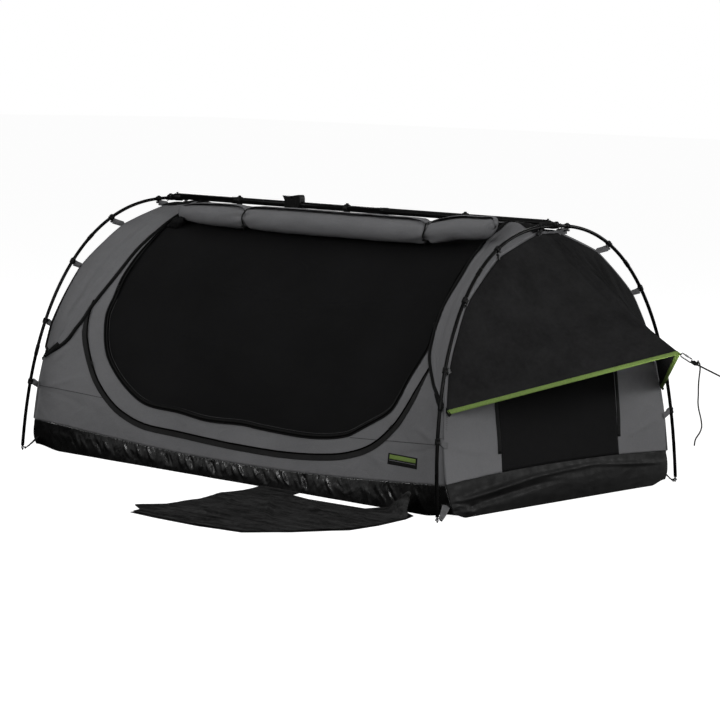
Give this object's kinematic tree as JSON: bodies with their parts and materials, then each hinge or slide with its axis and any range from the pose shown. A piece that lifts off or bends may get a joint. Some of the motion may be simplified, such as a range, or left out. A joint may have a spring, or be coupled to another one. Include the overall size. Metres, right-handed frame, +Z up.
{
  "type": "swag tent",
  "caption": "Low canvas swag tent on leaning end hoops and a ridge pole, with a PVC tub, mesh door, rolled-up door flap and an end awning held out by a guy rope.",
  "frame": {"origin": "on the ground under the middle of the tub's footprint", "axes": "+X along the tent towards the end whose awning is pulled out, -Y out of the side with the rolled-up door, +Z up"},
  "size_m": [4.1388, 2.1271, 1.0485],
  "materials": {
    "canvas": "matt ripstop canvas",
    "black_tape": "woven tape and piping",
    "insect_mesh": "fine insect mesh",
    "pvc": "glossy heavy PVC cloth",
    "awning_cloth": "matt charcoal cloth",
    "green_binding": "woven binding",
    "pole_black": "satin black coating",
    "clip_plastic": "moulded satin",
    "webbing": "woven webbing",
    "bright_steel": "bright plated",
    "cord_black": "braided cord"
  },
  "bodies": {
    "root": {"hood_left": "canvas", "hood_right": "canvas", "roof_strip": "canvas", "front_wall": "canvas", "back_wall": "canvas", "back_door": "canvas", "door_roll": "canvas", "end_panel_left": "canvas", "end_panel_right": "canvas", "piping_left": "black_tape", "piping_right": "black_tape", "door_zip_outer": "black_tape", "door_zip_inner": "black_tape", "back_door_zip": "black_tape", "window_tape_left": "black_tape", "window_tape_right": "black_tape", "door_tie_left": "black_tape", "door_tie_right": "black_tape", "door_mesh": "insect_mesh", "end_mesh_left": "insect_mesh", "end_mesh_right": "insect_mesh", "floor_sheet": "pvc", "tub_front": "pvc", "tub_back": "pvc", "tub_end_left": "pvc", "tub_end_right": "pvc", "awning_left": "awning_cloth", "awning_right": "awning_cloth", "gear_mat": "awning_cloth", "awning_trim_left": "green_binding", "awning_trim_right": "green_binding", "hoop_left": "pole_black", "hoop_right": "pole_black", "ridge_pole": "pole_black", "ridge_bracket": "clip_plastic", "ridge_clip_left": "clip_plastic", "ridge_clip_middle": "clip_plastic", "ridge_clip_right": "clip_plastic", "hub_left": "clip_plastic", "hub_right": "clip_plastic", "guy_slider": "clip_plastic", "foot_strap_left_back": "webbing", "foot_strap_left_front": "webbing", "foot_strap_right_back": "webbing", "foot_strap_right_front": "webbing", "foot_pin_left_back": "bright_steel", "foot_pin_left_front": "bright_steel", "foot_pin_right_back": "bright_steel", "foot_pin_right_front": "bright_steel", "guy_link": "bright_steel", "guy_peg": "bright_steel", "guy_rope": "cord_black", "guy_tail": "cord_black", "hub_loop_left": "cord_black", "hub_loop_right": "cord_black"}
  },
  "joints": []
}
